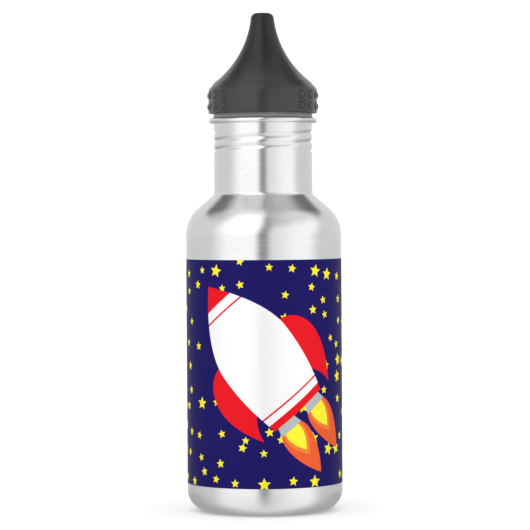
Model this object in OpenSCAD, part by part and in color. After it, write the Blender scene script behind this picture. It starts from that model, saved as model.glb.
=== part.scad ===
// Single-wall steel sports bottle for a child, with a screw-in push-pull spout cap
// under a tapered dust cover. Millimetres, +Z up, origin at the centre of the base.

/* [Bottle] */
// Outside radius of the steel body
body_r = 35; // [34:0.25:36]
// Thickness of the steel sheet
sheet_t = 0.5; // [0.4:0.05:0.7]
// Height of the weld between the base pan and the drawn shell
seam_z = 10.5; // [10.2:0.1:12]
// Radius of the rounded bottom corner
corner_r = 9.5; // [8:0.1:10]
// Depth of the recess under the base
recess_depth = 2; // [1.5:0.25:3]
// Height where the shoulder starts to curve in
shoulder_z = 124.6; // [118:0.2:126]
// Radius of the shoulder's rounding
shoulder_r = 15.3; // [12:0.1:17]
// Slope of the shoulder's cone above the horizontal, in degrees
shoulder_slope = 41; // [35:1:45]

/* [Neck] */
// Outside radius of the neck
neck_r = 22.15; // [22:0.05:22.4]
// Height of the rolled rim's top
rim_z = 177; // [176:0.25:179]
// Section radius of the rolled rim
rim_roll_r = 1.2; // [1:0.05:1.3]
// Outside radius of the rolled rim
rim_r = 24.4; // [24.2:0.05:24.6]

/* [Thread] */
// Rise of the thread in one turn
thread_lead = 8.12; // [7.6:0.02:8.6]
// Number of starts
thread_starts = 2; // [1:1:2]
// Height of the thread's top end
thread_top_z = 170.5; // [169.5:0.1:171]
// Full-depth turn of each start, in degrees
thread_turn = 360; // [300:10:400]
// Depth that the thread is pressed into the neck
thread_depth = 0.5; // [0.3:0.05:0.55]

/* [Print] */
// Bottom edge of the printed wrap
print_z0 = 12.8; // [12:0.2:20]
// Top edge of the printed wrap
print_z1 = 113.7; // [90:0.5:118]
// Thickness of the printed wrap
print_t = 0.08; // [0.05:0.01:0.15]

/* [Cap] */
// Radius of the cap's brim
brim_r = 23.05; // [22.9:0.05:23.1]
// Height of the brim above its seat
brim_h = 5.35; // [5:0.05:5.5]
// Radius of the plug that screws into the neck
plug_r = 20.3; // [20:0.1:20.4]
// Height of the plug's lower end
plug_z = 159.8; // [158:0.2:161]
// Wall thickness of the cap mouldings
cap_wall = 1.5; // [1.2:0.1:1.6]
// Height of the gasket between rim and brim
gasket_h = 2; // [1.8:0.1:2.2]

/* [Spout] */
// Outside radius of the spout tower
tower_r = 6.1; // [6:0.05:6.2]
// Bore radius of the spout tower
tower_bore_r = 3.9; // [3.5:0.1:4]
// Travel of the push-pull spout
spout_travel = 5.5; // [4:0.1:5.5]

/* [Dust cover] */
// Outside radius of the cover's skirt
cover_r = 24.55; // [24.5:0.05:24.8]
// Height of the cover's tip
cover_top_z = 224.3; // [222:0.1:228]
// Wall thickness of the cover
cover_t = 1.25; // [1:0.05:1.3]
// Radius of the concave flank
flank_r = 42.16; // [42:0.02:42.4]
// Radius of each grip dot's round footprint
dot_r = 1.5; // [1:0.1:1.8]
// Height that each grip dot stands proud
dot_h = 0.52; // [0.3:0.05:0.8]

/* [Hidden] */
$fn = 96;

// Derived places on the bottle
neck_inner_r = neck_r - sheet_t;
rim_axis_z = rim_z - rim_roll_r;
shoulder_end = 90 - shoulder_slope;
fillet_r = 2.2;
shoulder_mid_r = body_r - shoulder_r;
cone_start_r = shoulder_mid_r + shoulder_r * cos(shoulder_end);
cone_start_z = shoulder_z + shoulder_r * sin(shoulder_end);
fillet_mid_r = neck_r + fillet_r;
fillet_z = cone_start_z
    + (fillet_r - (fillet_mid_r - cone_start_r) * cos(shoulder_end)) / sin(shoulder_end);

// Derived places on the thread band
band_z0 = 159.8;
band_z1 = 173.6;
band_lap = 0.6;
band_skin = 0.03;
thread_gap = thread_lead / thread_starts;
groove_half_w = 1.55;
ridge_half_w = 1.45;
ridge_h = 0.95;
fade_turn = 25;
thread_sides = 60;

// Derived places on the cap
seat_z = rim_z + gasket_h + 0.15;
brim_top_z = seat_z + brim_h;
gasket_z0 = rim_z + 0.08;
gasket_top_z = seat_z - 0.05;
plug_bore_r = plug_r - cap_wall;
upstand_r = brim_r - 1.45;
moat_z = seat_z + 1.8;
dome_foot_r = 19.4;
deck_r = 9.8;
deck_z = brim_top_z + 3.1;
deck_under_z = deck_z - 2.2;
tower_top_z = deck_z + 10;
land_z = deck_z + 6.9;
land_r = tower_r + 0.2;
ring_z = land_z + 1.25;
ring_section_r = 0.75;
ring_mid_r = land_r - 0.65;
key_count = 8;
key_w = 2.4;
key_gap = 0.3;
key_depth = 0.45;

// Derived places on the vent
vent_y = 12.7;
vent_floor_z = deck_under_z - 4.3;
vent_floor_t = 1.4;
vent_well_r = 2.8;
vent_stem_r = 0.9;
vent_hole_r = 0.5;
vent_hole_at = 1.75;

// Derived places on the spout
sleeve_z = deck_z + 0.1;
sleeve_bore_r = land_r + 0.2;
sleeve_r = 7.6;
lip_top_z = land_z - spout_travel - 0.05;
sleeve_ceiling_z = tower_top_z + 0.5;
sleeve_top_z = sleeve_ceiling_z + 4.5;
outlet_r = 2.6;
tip_r = outlet_r - 0.08;
tip_z0 = sleeve_ceiling_z + 0.9;
tip_top_z = sleeve_top_z - 0.3;
post_r = 1.4;
post_z0 = deck_under_z - 1.2;
hub_r = tower_bore_r - 0.02;

// Derived places on the dust cover
cover_z0 = seat_z - 0.05;
skirt_bore_r = brim_r + 0.3;
ledge_z = brim_top_z + 0.08;
ledge_r = skirt_bore_r - 1;
flank_mid_r = 47.1;
flank_mid_z = 226.84;
knob_round_r = 2.6;
knob_top_r = 2.65;
knob_z = cover_top_z - knob_round_r;
flank_top_z = knob_z;
skirt_round_r = 3.2;
dot_rows_z = [182.05, 187.1];
dots_per_side = 7;
dot_pitch = 15;
dot_ball_r = (dot_r * dot_r + dot_h * dot_h) / (2 * dot_h);

// Points along an arc about [r, z], from angle a0 to a1
function arc(r, z, radius, a0, a1, steps) =
    [for (i = [0:steps]) let (a = a0 + (a1 - a0) * i / steps)
        [r + radius * cos(a), z + radius * sin(a)]];

function reverse(points) = [for (i = [len(points) - 1:-1:0]) points[i]];

// Smooth 0 to 1 step
function ease(x) = let (c = min(max(x, 0), 1)) c * c * (3 - 2 * c);

// Rounded bump, 1 at its middle and 0 beyond half its width
function bump(x, half_w) = abs(x) < half_w ? (1 + cos(180 * x / half_w)) / 2 : 0;

// Share of the full thread depth where a start has made this turn
function run_in(turn) =
    ease((turn + thread_turn) / fade_turn + 1) * ease(1 - turn / fade_turn);

// Thread section at an angle and height; drop moves the whole thread down
function thread_at(angle, z, drop, half_w) =
    max([for (start = [0:thread_starts - 1], wrap = [-3:1])
        let (turn = angle + 360 * wrap + 360 * start / thread_starts)
        run_in(turn) * bump(z + drop - thread_top_z - thread_lead * turn / 360, half_w)]);

// Closed tube whose outer and inner radii are given as grids of rows from bottom to top
module grid_tube(outer, inner, heights) {
    rows = len(heights);
    sides = len(outer[0]);
    ring_points = function (radii, z)
        [for (i = [0:sides - 1]) let (a = 360 * i / sides)
            [radii[i] * cos(a), radii[i] * sin(a), z]];
    points = concat(
        [for (k = [0:rows - 1]) each ring_points(outer[k], heights[k])],
        [for (k = [rows - 1:-1:0]) each ring_points(inner[k], heights[k])]);
    rings = 2 * rows;
    faces = [for (k = [0:rings - 1], i = [0:sides - 1])
        let (below = k * sides, above = ((k + 1) % rings) * sides, next = (i + 1) % sides)
        each [[below + i, above + next, below + next], [below + i, above + i, above + next]]];
    polyhedron(points, faces);
}

// Solid of revolution about Z from [radius, height] points
module revolve(points) {
    rotate_extrude() polygon(points);
}

module cylinder_between(r, z0, z1) {
    translate([0, 0, z0]) cylinder(r = r, h = z1 - z0);
}

// --- Bottle -------------------------------------------------------------------------

function shell_path(inset) = concat(
    [[body_r - inset, seam_z]],
    arc(shoulder_mid_r, shoulder_z, shoulder_r - inset, 0, shoulder_end, 14),
    arc(fillet_mid_r, fillet_z, fillet_r + inset, 180 + shoulder_end, 180, 6),
    [[neck_r - inset, band_z0 + band_lap]]);

module rolled_rim() {
    rotate_extrude() difference() {
        union() {
            translate([neck_inner_r + rim_roll_r, rim_axis_z]) circle(rim_roll_r);
            translate([rim_r - rim_roll_r, rim_axis_z]) circle(rim_roll_r);
            translate([neck_inner_r + rim_roll_r, rim_axis_z - rim_roll_r])
                square([rim_r - neck_inner_r - 2 * rim_roll_r, 2 * rim_roll_r]);
            translate([neck_inner_r, band_z1 - band_lap])
                square([sheet_t, rim_axis_z - band_z1 + band_lap]);
        }
        translate([neck_inner_r + rim_roll_r, rim_axis_z]) circle(rim_roll_r - sheet_t);
        translate([rim_r - rim_roll_r, rim_axis_z]) circle(rim_roll_r - sheet_t);
    }
}

module neck_thread_band() {
    levels = 18;
    heights = [for (k = [0:levels]) band_z0 + (band_z1 - band_z0) * k / levels];
    skin = function (r)
        [for (z = heights) [for (i = [0:thread_sides - 1])
            r - thread_depth * thread_at(360 * i / thread_sides, z, 0, groove_half_w)]];
    grid_tube(skin(neck_r - band_skin), skin(neck_inner_r + 2 * band_skin), heights);
}

module bottle_shell() {
    color([0.80, 0.80, 0.81]) union() {
        revolve(concat(shell_path(0), reverse(shell_path(sheet_t))));
        neck_thread_band();
        rolled_rim();
    }
}

function pan_path(inset) =
    let (flat_r = body_r - corner_r - 1.5, bend = 60,
         outer_bend_r = recess_depth * 0.8, inner_bend_r = recess_depth * 1.2,
         drop = inner_bend_r * sin(bend) + outer_bend_r * sin(bend))
    concat(
        [[body_r - inset, seam_z]],
        arc(body_r - corner_r, corner_r, corner_r - inset, 0, -90, 12),
        arc(flat_r, outer_bend_r, outer_bend_r - inset, -90, -90 - bend, 4),
        arc(flat_r - drop, recess_depth - inner_bend_r, inner_bend_r + inset, 90 - bend, 90, 4),
        [[0, recess_depth + inset]]);

module base_pan() {
    color([0.76, 0.76, 0.77]) revolve(concat(pan_path(0), reverse(pan_path(sheet_t))));
}

module print_wrap() {
    color([0.14, 0.12, 0.38]) rotate_extrude()
        translate([body_r, print_z0]) square([print_t, print_z1 - print_z0]);
}

// --- Cap ----------------------------------------------------------------------------

module cap_gasket() {
    bore_r = plug_r + 0.15;
    foot_r = neck_inner_r + 0.8;
    bead_r = 0.35;
    color([0.42, 0.42, 0.43]) rotate_extrude() union() {
        polygon([[bore_r, gasket_z0], [foot_r, gasket_z0], [foot_r - 0.4, gasket_z0 + 0.8],
                 [foot_r - 0.6, gasket_top_z], [bore_r, gasket_top_z]]);
        translate([foot_r - 0.5, gasket_z0 + 1.05]) circle(bead_r);
    }
}

function cap_section() = [
    [plug_bore_r, plug_z], [plug_r - 0.5, plug_z], [plug_r, plug_z + 0.5],
    [plug_r, seat_z], [brim_r, seat_z], [brim_r, brim_top_z - 0.5],
    [brim_r - 0.5, brim_top_z], [upstand_r, brim_top_z], [upstand_r, moat_z],
    [dome_foot_r, moat_z], [deck_r, deck_z], [tower_r, deck_z], [tower_r, land_z],
    [land_r, land_z], [land_r, ring_z - ring_section_r],
    [ring_mid_r - ring_section_r, ring_z - ring_section_r],
    [ring_mid_r - ring_section_r, ring_z + ring_section_r],
    [land_r, ring_z + ring_section_r], [land_r, tower_top_z - 0.5],
    [land_r - 0.5, tower_top_z], [tower_bore_r, tower_top_z],
    [tower_bore_r, deck_under_z], [deck_r - 0.8, deck_under_z],
    [plug_bore_r, moat_z - cap_wall]];

module plug_thread_band() {
    levels = 16;
    z0 = plug_z + 0.7;
    z1 = thread_top_z + 0.3;
    heights = [for (k = [0:levels]) z0 + (z1 - z0) * k / levels];
    root_r = plug_r + 0.2;
    outer = [for (z = heights) [for (i = [0:thread_sides - 1])
        root_r + ridge_h * thread_at(360 * i / thread_sides, z, thread_gap / 2, ridge_half_w)]];
    inner = [for (z = heights) [for (i = [0:thread_sides - 1]) plug_r - cap_wall / 2]];
    grid_tube([outer[0], each outer], [inner[0], each inner], [z0 - 0.01, each heights]);
}

module key_ring(inner_r, outer_r, width, z0, z1) {
    for (i = [0:key_count - 1])
        rotate(360 * (i + 0.5) / key_count) translate([inner_r, -width / 2, z0])
            cube([outer_r - inner_r, width, z1 - z0]);
}

module cap_base() {
    slot_w = key_w + 2 * key_gap;
    color([0.20, 0.20, 0.21]) difference() {
        union() {
            revolve(cap_section());
            plug_thread_band();
            translate([0, vent_y, 0])
                cylinder_between(vent_well_r + 1, vent_floor_z, deck_under_z + 0.6);
        }
        translate([0, vent_y, 0]) {
            cylinder_between(vent_well_r, vent_floor_z + vent_floor_t, deck_z + 1);
            cylinder_between(vent_stem_r + 0.02, vent_floor_z - 1, deck_z);
            for (i = [0:2]) rotate(90 + 120 * i) translate([vent_hole_at, 0, 0])
                cylinder_between(vent_hole_r, vent_floor_z - 1, deck_z);
        }
        key_ring(brim_r - key_depth - key_gap, brim_r + 1, slot_w, moat_z, brim_top_z + 1);
    }
}

// Shaft and barbed head of the valve post, which also cuts the socket in its seal
module post_shaft() {
    barb_z = tip_z0 + 1.6;
    revolve([[0, post_z0], [post_r, post_z0], [post_r, barb_z], [post_r + 0.4, barb_z],
             [post_r + 0.4, barb_z + 0.3], [post_r - 0.2, barb_z + 1.1],
             [0, barb_z + 1.1]]);
}

module valve_post() {
    spokes = 3;
    spoke_w = 1.1;
    hub_top_z = deck_under_z + 2.2;
    color([0.88, 0.88, 0.89]) union() {
        post_shaft();
        difference() {
            union() {
                cylinder_between(hub_r, deck_under_z, hub_top_z);
                cylinder_between(hub_r + 1, post_z0, deck_under_z);
            }
            cylinder_between(hub_r - 0.9, post_z0 - 1, hub_top_z + 1);
        }
        for (i = [0:spokes - 1]) rotate(360 * i / spokes)
            translate([0, -spoke_w / 2, post_z0])
                cube([hub_r - 0.5, spoke_w, hub_top_z - post_z0 - 0.4]);
    }
}

module post_seal() {
    color([0.90, 0.90, 0.90]) difference() {
        revolve(concat([[0, tip_z0], [tip_r - 0.3, tip_z0], [tip_r, tip_z0 + 0.4]],
            arc(tip_r - 0.6, tip_top_z - 0.6, 0.6, 0, 90, 5), [[0, tip_top_z]]));
        post_shaft();
    }
}

module tower_oring() {
    color([0.15, 0.15, 0.15]) rotate_extrude()
        translate([ring_mid_r, ring_z]) circle(ring_section_r);
}

module vent_valve() {
    flap_r = 3;
    flap_t = 0.9;
    stem_top_z = vent_floor_z + vent_floor_t;
    color([0.85, 0.85, 0.86]) translate([0, vent_y, 0]) revolve([
        [0, vent_floor_z - flap_t], [flap_r - 1, vent_floor_z - flap_t],
        [flap_r, vent_floor_z - 0.4], [flap_r, vent_floor_z], [vent_stem_r, vent_floor_z],
        [vent_stem_r, stem_top_z], [vent_stem_r + 0.35, stem_top_z + 0.2],
        [vent_stem_r + 0.3, stem_top_z + 0.7], [0.5, stem_top_z + 1.5],
        [0, stem_top_z + 1.5]]);
}

// --- Spout --------------------------------------------------------------------------

module spout_sleeve() {
    flange_r = sleeve_r + 1.5;
    flange_t = 1.5;
    lip_r = tower_r + 0.1;
    shoulder_z1 = sleeve_ceiling_z + 1.4;
    nose_r = outlet_r + 1.6;
    color([0.24, 0.24, 0.25]) revolve([
        [lip_r, sleeve_z], [flange_r - 0.4, sleeve_z], [flange_r, sleeve_z + 0.4],
        [flange_r, sleeve_z + flange_t - 0.4], [flange_r - 0.4, sleeve_z + flange_t],
        [sleeve_r, sleeve_z + flange_t + 0.5], [sleeve_r, shoulder_z1 - 1.2],
        [sleeve_r - 1.2, shoulder_z1], [nose_r, shoulder_z1], [nose_r, sleeve_top_z],
        [outlet_r, sleeve_top_z], [outlet_r, sleeve_ceiling_z],
        [sleeve_bore_r, sleeve_ceiling_z], [sleeve_bore_r, lip_top_z], [lip_r, lip_top_z]]);
}

module mouthpiece() {
    foot_z = sleeve_z + 2.4;
    shoulder_z1 = sleeve_ceiling_z + 1.4;
    skin_t = 0.75;
    bite_r = 1.3;
    bite_mid_r = sleeve_r - 2.2;
    bite_z = sleeve_top_z - 1.1;
    nose_r = outlet_r + 1.6;
    lip_t = bite_z + bite_r - sleeve_top_z;
    color([0.55, 0.55, 0.56]) revolve(concat(
        [[sleeve_r, foot_z], [sleeve_r + skin_t, foot_z + 0.2],
         [sleeve_r + skin_t - 0.2, shoulder_z1 - 1.9], [sleeve_r - 0.85, shoulder_z1 + 0.4]],
        arc(bite_mid_r, bite_z, bite_r, -60, 90, 10),
        arc(outlet_r + 1, sleeve_top_z, lip_t, 90, 180, 4),
        [[nose_r, sleeve_top_z], [nose_r, shoulder_z1],
         [sleeve_r - 1.2, shoulder_z1], [sleeve_r, shoulder_z1 - 1.2]]));
}

// --- Dust cover ---------------------------------------------------------------------

// Angle on the flank's circle where it stands at this height
function flank_angle(z, radius) = 180 + asin((flank_mid_z - z) / radius);

function cover_outside() =
    let (skirt_mid_r = cover_r - skirt_round_r, foot_a = flank_angle(193.4, flank_r),
         top_a = flank_angle(flank_top_z, flank_r))
    concat(
        [[0, cover_z0], [cover_r - 0.3, cover_z0], [cover_r, cover_z0 + 0.3]],
        arc(skirt_mid_r, 188.6, skirt_round_r, 0, 48, 5),
        arc(flank_mid_r, flank_mid_z, flank_r, foot_a, top_a, 22),
        arc(knob_top_r, knob_z, knob_round_r, 2, 90, 8),
        [[0, cover_top_z]]);

function cover_inside() =
    let (radius = flank_r + cover_t,
         foot_z = flank_mid_z - sqrt(pow(radius, 2) - pow(flank_mid_r - ledge_r, 2)),
         top_z = cover_top_z - 2.6 * cover_t)
    concat(
        [[0, cover_z0 - 1], [skirt_bore_r, cover_z0 - 1], [skirt_bore_r, ledge_z],
         [ledge_r, ledge_z]],
        arc(flank_mid_r, flank_mid_z, radius,
            flank_angle(foot_z, radius), flank_angle(top_z, radius), 22),
        [[0, top_z]]);

module grip_dots() {
    for (side = [0, 180], row_z = dot_rows_z, i = [0:dots_per_side - 1])
        rotate(side + dot_pitch * (i - (dots_per_side - 1) / 2))
            translate([cover_r + dot_h - dot_ball_r, 0, row_z])
                sphere(dot_ball_r, $fn = 32);
}

module dust_cover() {
    color([0.18, 0.18, 0.19]) union() {
        difference() {
            union() {
                revolve(cover_outside());
                grip_dots();
            }
            revolve(cover_inside());
        }
        key_ring(brim_r - key_depth, skirt_bore_r + 0.4, key_w, moat_z + 0.3, ledge_z + 0.2);
    }
}

bottle_shell();
base_pan();
print_wrap();
cap_gasket();
cap_base();
valve_post();
post_seal();
tower_oring();
vent_valve();
spout_sleeve();
mouthpiece();
dust_cover();
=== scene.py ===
"""A child's steel sports bottle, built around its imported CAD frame.

Lengths are millimetres until a mesh is made, and every mesh is in metres.
"""
import math
import random

import bmesh
import bpy
from mathutils import Matrix, Vector
from mathutils.geometry import delaunay_2d_cdt


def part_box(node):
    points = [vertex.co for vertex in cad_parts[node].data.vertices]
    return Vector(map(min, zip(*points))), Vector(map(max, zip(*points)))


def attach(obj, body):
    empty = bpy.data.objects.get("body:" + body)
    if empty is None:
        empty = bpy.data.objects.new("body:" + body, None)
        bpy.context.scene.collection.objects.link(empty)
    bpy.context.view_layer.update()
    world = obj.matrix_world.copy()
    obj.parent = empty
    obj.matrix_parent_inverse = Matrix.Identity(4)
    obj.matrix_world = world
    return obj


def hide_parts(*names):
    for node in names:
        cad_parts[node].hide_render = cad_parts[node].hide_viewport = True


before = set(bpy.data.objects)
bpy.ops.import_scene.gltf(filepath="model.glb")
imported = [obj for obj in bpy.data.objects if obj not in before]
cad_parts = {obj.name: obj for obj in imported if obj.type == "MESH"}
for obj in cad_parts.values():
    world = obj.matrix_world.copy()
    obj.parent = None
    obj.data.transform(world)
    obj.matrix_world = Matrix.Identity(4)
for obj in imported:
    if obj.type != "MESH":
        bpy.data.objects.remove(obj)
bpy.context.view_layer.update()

MM = 0.001


def top(node):
    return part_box(node)[1].z / MM


def bottom(node):
    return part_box(node)[0].z / MM


def radius(node):
    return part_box(node)[1].x / MM


# Bottle
BODY_R = radius("bottle_shell")
SHEET_T = 0.5
SEAM_Z = top("base_pan")
CORNER_R = 9.5
RECESS = 2.0
SHOULDER_Z = 124.6
SHOULDER_R = 15.3
SHOULDER_END = 49
FILLET_R = 2.2
NECK_R = 22.15
RIM_Z = top("bottle_shell")
ROLL_R = 1.2
RIM_R = 24.4

# Thread
LEAD = 8.12
STARTS = 2
THREAD_TOP = 170.5
THREAD_TURN = 360
THREAD_DEPTH = 0.5
FADE_TURN = 25
GROOVE_HALF_W = 1.55
RIDGE_HALF_W = 1.45
RIDGE_H = 0.95

# Cap
SEAT_Z = bottom("dust_cover") + 0.05
BRIM_R = 23.05
BRIM_TOP = SEAT_Z + 5.35
PLUG_Z = bottom("cap_base")
PLUG_R = 20.3
CAP_WALL = 1.5
MOAT_Z = SEAT_Z + 1.8
DECK_Z = BRIM_TOP + 3.1
DECK_UNDER = DECK_Z - 2.2
TOWER_R = 6.1
TOWER_BORE_R = 3.9
TOWER_TOP = top("cap_base")
LAND_Z = DECK_Z + 6.9
LAND_R = TOWER_R + 0.2
KEYS = 8
KEY_W = 2.4
KEY_GAP = 0.3
KEY_DEPTH = 0.45
VENT_Y = 12.7
VENT_WELL_R = 2.8
VENT_FLOOR = DECK_UNDER - 4.3
VENT_FLOOR_T = 1.4
VENT_STEM_R = 0.9
VENT_HOLE_R = 0.5
VENT_HOLE_AT = 1.75
RING_Z = LAND_Z + 1.25
RING_MID_R = LAND_R - 0.65
RING_R = 0.75

# Spout
SLEEVE_Z = bottom("spout_sleeve")
SLEEVE_TOP = top("spout_sleeve")
SLEEVE_R = 7.6
CEILING_Z = TOWER_TOP + 0.5
SLEEVE_SHOULDER = CEILING_Z + 1.4
OUTLET_R = 2.6
NOSE_R = OUTLET_R + 1.6
LIP_TOP = LAND_Z - 5.55
POST_R = 1.4
BARB_R = 1.8
BARB_POINT_R = 1.2

# Dust cover
COVER_R = 24.55
COVER_Z = bottom("dust_cover")
COVER_TOP = top("dust_cover")
COVER_T = 1.25
SKIRT_BORE_R = BRIM_R + 0.3
SKIRT_ROUND_R = 3.2
SKIRT_ROUND_Z = 188.6
FLANK_FOOT_Z = 193.4
FLANK_R = 42.16
FLANK_MID = (47.1, 226.84)
KNOB_R = 2.6
KNOB_MID_R = 2.65
DOT_ROWS = (182.05, 187.1)
DOTS_PER_SIDE = 7
DOT_PITCH = 15
DOT_R = 1.5
DOT_H = 0.5
DOT_RING_W = 0.55
DOT_RING_DEPTH = 0.32

# Printed wrap
PRINT_Z0 = bottom("print_wrap")
PRINT_Z1 = top("print_wrap")
PRINT_R = radius("print_wrap") - 0.02
PRINT_T = 0.04

# Camera
LENS = 188.0
SENSOR = 36.0
CAMERA_AT = (0.54, -1250, 139.6)
CAMERA_DOWN = 1.324
CAMERA_ROLL = -0.35


# --- Profiles ---------------------------------------------------------------------------

def arc(centre, r, a0, a1, steps):
    """Points on an arc about centre, from angle a0 to a1 in degrees."""
    angles = [math.radians(a0 + (a1 - a0) * i / steps) for i in range(steps + 1)]
    return [(centre[0] + r * math.cos(a), centre[1] + r * math.sin(a)) for a in angles]


def line(p, q, steps):
    """Points from p to q, without p."""
    return [(p[0] + (q[0] - p[0]) * i / steps, p[1] + (q[1] - p[1]) * i / steps)
            for i in range(1, steps + 1)]


def softened(points, default=0.25, steps=4):
    """A closed outline with each corner rounded. A point may carry its own radius.
    A support point beyond each rounding keeps the flats flat when shaded smooth."""
    out = []
    count = len(points)
    for i, point in enumerate(points):
        here = Vector(point[:2])
        r = point[2] if len(point) > 2 else default
        before = Vector(points[i - 1][:2]) - here
        after = Vector(points[(i + 1) % count][:2]) - here
        if r <= 0 or before.length == 0 or after.length == 0:
            out.append(tuple(here))
            continue
        turn = before.angle(after)
        if turn > math.radians(178):
            out.append(tuple(here))
            continue
        cut = min(r / math.tan(turn / 2), before.length * 0.4, after.length * 0.4)
        r = cut * math.tan(turn / 2)
        start = here + before.normalized() * cut
        end = here + after.normalized() * cut
        centre = here + (before.normalized() + after.normalized()).normalized() * (
            r / math.sin(turn / 2))
        spare = min(0.3 * r, before.length * 0.08, after.length * 0.08)
        out.append(tuple(start + before.normalized() * spare))
        a = start - centre
        sweep = a.angle_signed(end - centre)
        for k in range(steps + 1):
            t = -sweep * k / steps
            out.append((centre.x + a.x * math.cos(t) - a.y * math.sin(t),
                        centre.y + a.x * math.sin(t) + a.y * math.cos(t)))
        out.append(tuple(end + after.normalized() * spare))
    return out


def ease(x):
    """Smooth step from 0 to 1."""
    x = min(max(x, 0.0), 1.0)
    return x * x * (3 - 2 * x)


def thread_at(angle, z, drop, half_w):
    """Share of the thread's full section at an angle in degrees and a height."""
    share = 0.0
    for start in range(STARTS):
        for wrap in range(-3, 2):
            turn = angle + 360 * wrap + 360 * start / STARTS
            off = z + drop - THREAD_TOP - LEAD * turn / 360
            if abs(off) < half_w and -THREAD_TURN - FADE_TURN < turn < FADE_TURN:
                run_in = ease((turn + THREAD_TURN) / FADE_TURN + 1) * ease(1 - turn / FADE_TURN)
                share = max(share, run_in * (1 + math.cos(math.pi * off / half_w)) / 2)
    return share


# --- Mesh building ----------------------------------------------------------------------

def object_from(name, verts, faces, material, sharp=None):
    mesh = bpy.data.meshes.new(name)
    mesh.from_pydata([Vector(v) * MM for v in verts], [], faces)
    bm = bmesh.new()
    bm.from_mesh(mesh)
    bmesh.ops.recalc_face_normals(bm, faces=bm.faces)
    bm.to_mesh(mesh)
    bm.free()
    mesh.shade_smooth()
    if sharp:
        mesh.set_sharp_from_angle(angle=math.radians(sharp))
    mesh.materials.append(material)
    piece = bpy.data.objects.new(name, mesh)
    bpy.context.scene.collection.objects.link(piece)
    return piece


def revolved(outline, angles=240, shape=None, at=(0.0, 0.0), closed=True):
    """Vertices and faces of an outline turned about a vertical axis. angles is a count or a
    list in degrees. shape(angle, r, z) may move a point. A point on the axis becomes a pole."""
    if isinstance(angles, int):
        angles = [360 * i / angles for i in range(angles)]
    verts, rings = [], []
    for r, z in outline:
        if r < 1e-6:
            rings.append([len(verts)] * len(angles))
            verts.append((at[0], at[1], z))
            continue
        ring = []
        for angle in angles:
            rr, zz = shape(angle, r, z) if shape else (r, z)
            a = math.radians(angle)
            ring.append(len(verts))
            verts.append((at[0] + rr * math.cos(a), at[1] + rr * math.sin(a), zz))
        rings.append(ring)
    faces = []
    pairs = list(zip(rings, rings[1:]))
    if closed and outline[0][0] > 1e-6:
        pairs.append((rings[-1], rings[0]))
    for low, high in pairs:
        for i in range(len(angles)):
            j = (i + 1) % len(angles)
            face = [low[i], low[j], high[j], high[i]]
            face = list(dict.fromkeys(face))
            if len(face) > 2:
                faces.append(face)
    return verts, faces


def turned(name, outline, material, angles=240, shape=None, at=(0.0, 0.0), sharp=None):
    verts, faces = revolved(outline, angles, shape, at)
    return object_from(name, verts, faces, material, sharp)


def fit(piece, body, node):
    """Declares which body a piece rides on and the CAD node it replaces."""
    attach(piece, body)
    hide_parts(node)
    return piece


# --- Materials --------------------------------------------------------------------------

class Nodes:
    """A short way to build a material's or the world's node tree."""

    def __init__(self, tree):
        self.tree = tree
        tree.nodes.clear()

    def add(self, kind, **inputs):
        node = self.tree.nodes.new(kind)
        for key, value in inputs.items():
            self.set(node, key.replace("_", " "), value)
        return node

    def set(self, node, key, value):
        socket = node.inputs[int(key) if key.isdigit() else key]
        if isinstance(value, bpy.types.NodeSocket):
            self.tree.links.new(value, socket)
        else:
            socket.default_value = value

    def math(self, operation, *values, clamp=False):
        node = self.tree.nodes.new("ShaderNodeMath")
        node.operation, node.use_clamp = operation, clamp
        for i, value in enumerate(values):
            self.set(node, str(i), value)
        return node.outputs[0]

    def ramp(self, fac, lo, hi, out_lo, out_hi, smooth=True):
        """fac from lo to hi mapped to out_lo to out_hi, held flat beyond."""
        node = self.tree.nodes.new("ShaderNodeMapRange")
        node.interpolation_type = "SMOOTHSTEP" if smooth else "LINEAR"
        for i, value in enumerate((fac, lo, hi, out_lo, out_hi)):
            self.set(node, str(i), value)
        return node.outputs[0]

    def colours(self, fac, stops):
        node = self.tree.nodes.new("ShaderNodeValToRGB")
        self.set(node, "Fac", fac)
        elements = node.color_ramp.elements
        while len(elements) < len(stops):
            elements.new(0.5)
        for element, (place, colour) in zip(elements, stops):
            element.position, element.color = place, (*colour, 1.0)
        return node.outputs[0]

    def scaled(self, colour, factor):
        node = self.tree.nodes.new("ShaderNodeVectorMath")
        node.operation = "SCALE"
        self.set(node, "0", colour)
        self.set(node, "Scale", factor)
        return node.outputs[0]

    def noise(self, vector, scale, detail=3.0, rough=0.55):
        node = self.add("ShaderNodeTexNoise", Vector=vector, Scale=scale, Detail=detail,
                        Roughness=rough)
        return node.outputs["Fac"]


def linear(colour):
    """Linear value of a colour given as 0 to 255 screen values."""
    return tuple((c / 255 / 12.92) if c / 255 <= 0.04045 else ((c / 255 + 0.055) / 1.055) ** 2.4
                 for c in colour)


def shaded(colour, factor):
    return tuple(min(c * factor, 1.0) for c in colour)


def new_material(name):
    material = bpy.data.materials.new(name)
    material.use_nodes = True
    nodes = Nodes(material.node_tree)
    shader = nodes.add("ShaderNodeBsdfPrincipled")
    out = nodes.add("ShaderNodeOutputMaterial")
    nodes.tree.links.new(shader.outputs[0], out.inputs[0])
    return material, nodes, shader


def bumped(nodes, shader, height, distance, strength=1.0):
    bump = nodes.add("ShaderNodeBump", Height=height, Distance=distance, Strength=strength)
    nodes.tree.links.new(bump.outputs[0], shader.inputs["Normal"])


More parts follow.
